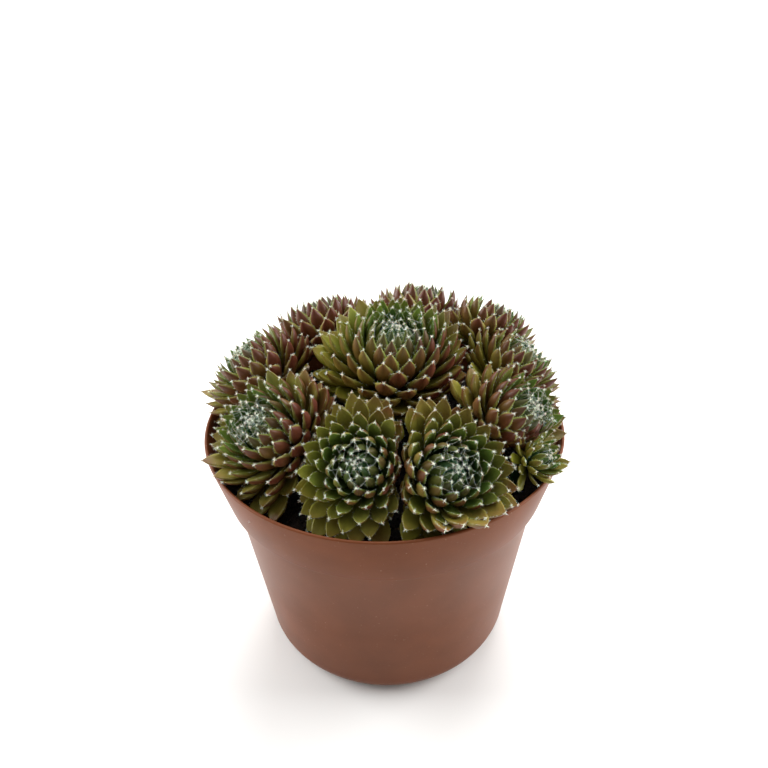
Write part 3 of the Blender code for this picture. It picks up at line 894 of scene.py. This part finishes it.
# %% Tufts, fringes and cobweb
DOWN_SEED = 1300
TUFT_HAIRS = 15
TUFT_RADIUS = 0.10 * MM
TUFT_LENGTHS = (0.6, 1.25)
TUFT_INSIDE = 0.15 * MM
FRINGE_HAIRS = 11
FRINGE_RADIUS = 0.04 * MM
FRINGE_LENGTHS = (0.35, 0.8)
FRINGE_STATIONS = (4.0, len(STATIONS) - 1.2)
THREAD_STATIONS = (9, 12)
BUD_AGE = 0.30
THREADS_A_TIP = 4
FULL_REACH = 30 * MM
EDGE_COLUMNS = (0, ROUND // 2)


def down_mesh(rosette, leaves):
    """One mesh of a rosette's tufts, fringes and cobweb threads."""
    draw = random.Random(DOWN_SEED + rosette.number)
    size = 0.55 + 0.45 * rosette.reach / FULL_REACH
    tuft = {"feet": [], "directions": [], "lengths": []}
    fringe = {"feet": [], "directions": [], "lengths": []}
    for _, grid, tip, pointing in leaves:
        for _ in range(TUFT_HAIRS):
            tuft["feet"].append(tip - TUFT_INSIDE * pointing)
            tuft["directions"].append(0.65 * pointing + random_direction(draw))
            tuft["lengths"].append(draw.uniform(*TUFT_LENGTHS) * MM * size)
        for column in EDGE_COLUMNS:
            for _ in range(FRINGE_HAIRS):
                place = draw.uniform(*FRINGE_STATIONS)
                row = int(place)
                outward = grid[row, column] - grid[row].mean(axis=0)
                outward /= np.linalg.norm(outward)
                onward = (grid[row + 1, column] - grid[row, column]) * (place - row)
                fringe["feet"].append(grid[row, column] + onward)
                fringe["directions"].append(outward + 0.5 * pointing + 0.35 * random_direction(draw))
                fringe["lengths"].append(draw.uniform(*FRINGE_LENGTHS) * MM * size)
    points, faces = spikes(**tuft, radius=TUFT_RADIUS)
    more, links = spikes(**fringe, radius=FRINGE_RADIUS)
    faces += [[len(points) + i for i in face] for face in links]
    points += more
    tips = [(tip, grid) for age, grid, tip, _ in leaves if age < BUD_AGE]
    for tip, grid in tips:
        nearest = sorted(range(len(tips)), key=lambda j: np.linalg.norm(tips[j][0] - tip))[1:5]
        for _ in range(round(THREADS_A_TIP * rosette.wool)):
            other_grid = tips[draw.choice(nearest)][1]
            ends = []
            for leaf in (grid, other_grid):
                row = draw.randint(*THREAD_STATIONS)
                ends.append(leaf[row, draw.choice(EDGE_COLUMNS)])
            add_thread(points, faces, *ends, draw)
    mesh = bpy.data.meshes.new(rosette.name + "_down")
    mesh.from_pydata([tuple(p) for p in points], [], faces)
    return mesh


for rosette in rosettes:
    add_piece(rosette.name + "_down", down_mesh(rosette, grown[rosette.name]), down, None)

# %% [markdown]
# ## The floor
#
# The photograph has a white ground. A wide pale board, large enough that its edge is far away, takes the
# pot's soft shadow. It is part of the studio and not of the object, so it's marked as stage.

# %% The floor
HALF_FLOOR = 8.0
floor_mesh = bpy.data.meshes.new("studio_floor")
corners = [(x * HALF_FLOOR, y * HALF_FLOOR, 0) for x, y in ((-1, -1), (1, -1), (1, 1), (-1, 1))]
floor_mesh.from_pydata(corners, [], [(0, 1, 2, 3)])
pale_board, tree, shader = new_material("pale_board", Roughness=0.7, Base_Color=linear("#F4F4F2"))
floor_mesh.materials.append(pale_board)
studio_floor = bpy.data.objects.new("studio_floor", floor_mesh)
bpy.context.scene.collection.objects.link(studio_floor)
studio_floor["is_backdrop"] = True
print("floor:", 2 * HALF_FLOOR, "m square")

# %% [markdown]
# ## Light
#
# The photograph's light is soft and comes from both sides and from above, with little from the camera's
# side, so the pot is darkest in its middle. Two side boxes and a high, very soft sun give that, and the
# background is darker on the viewer's side than behind the plant.

# %% The studio's light
BOX_SIDE = 0.5
BOX_WATTS = 6.0
BOXES = {"box_left": (-0.70, 0.15, 0.35), "box_right": (0.70, 0.10, 0.35)}
BOX_TARGET = (0, 0, 0.08)
SUN_STRENGTH = 2.0
SUN_SPREAD = math.radians(35)
SUN_TURN = (math.radians(-35), math.radians(8), 0)
BACKGROUND_FADE = {"From Min": -0.7, "From Max": 0.2, "To Min": 0.28, "To Max": 1.0}
for name, place in BOXES.items():
    lamp = bpy.data.lights.new(name, "AREA")
    lamp.shape = "RECTANGLE"
    lamp.size = BOX_SIDE
    lamp.size_y = BOX_SIDE
    lamp.energy = BOX_WATTS
    box = bpy.data.objects.new(name, lamp)
    box.location = place
    box.rotation_euler = (Vector(BOX_TARGET) - Vector(place)).to_track_quat("-Z", "Y").to_euler()
    bpy.context.scene.collection.objects.link(box)
sun = bpy.data.lights.new("high_softbox", "SUN")
sun.energy = SUN_STRENGTH
sun.angle = SUN_SPREAD
high_softbox = bpy.data.objects.new("high_softbox", sun)
high_softbox.rotation_euler = SUN_TURN
bpy.context.scene.collection.objects.link(high_softbox)
world = bpy.data.worlds.new("studio")
world.use_nodes = True
tree = world.node_tree
looking = add_node(tree, "TexCoord", output="Generated")
depth = add_node(tree, "SeparateXYZ", {0: looking}, "Y")
strength = add_node(tree, "MapRange", {"Value": depth, **BACKGROUND_FADE})
tree.nodes["Background"].inputs["Color"].default_value = (1, 1, 1, 1)
tree.links.new(strength, tree.nodes["Background"].inputs["Strength"])
bpy.context.scene.world = world
bpy.context.scene.view_settings.view_transform = "Standard"
print("lights:", ", ".join([*BOXES, high_softbox.name]))

# %% [markdown]
# ## Measure and finish
#
# A dressed model must keep the real object's size, so the box round everything visible is set beside the
# box of the plain solids. Both are printed, in millimetres.

# %% Keep both boxes and finish
boxes = {"cad": cad_box, "scene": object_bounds()}
for name, (low, high) in boxes.items():
    print(name, "box in mm:", [round((b - a) / MM, 1) for a, b in zip(low, high)])
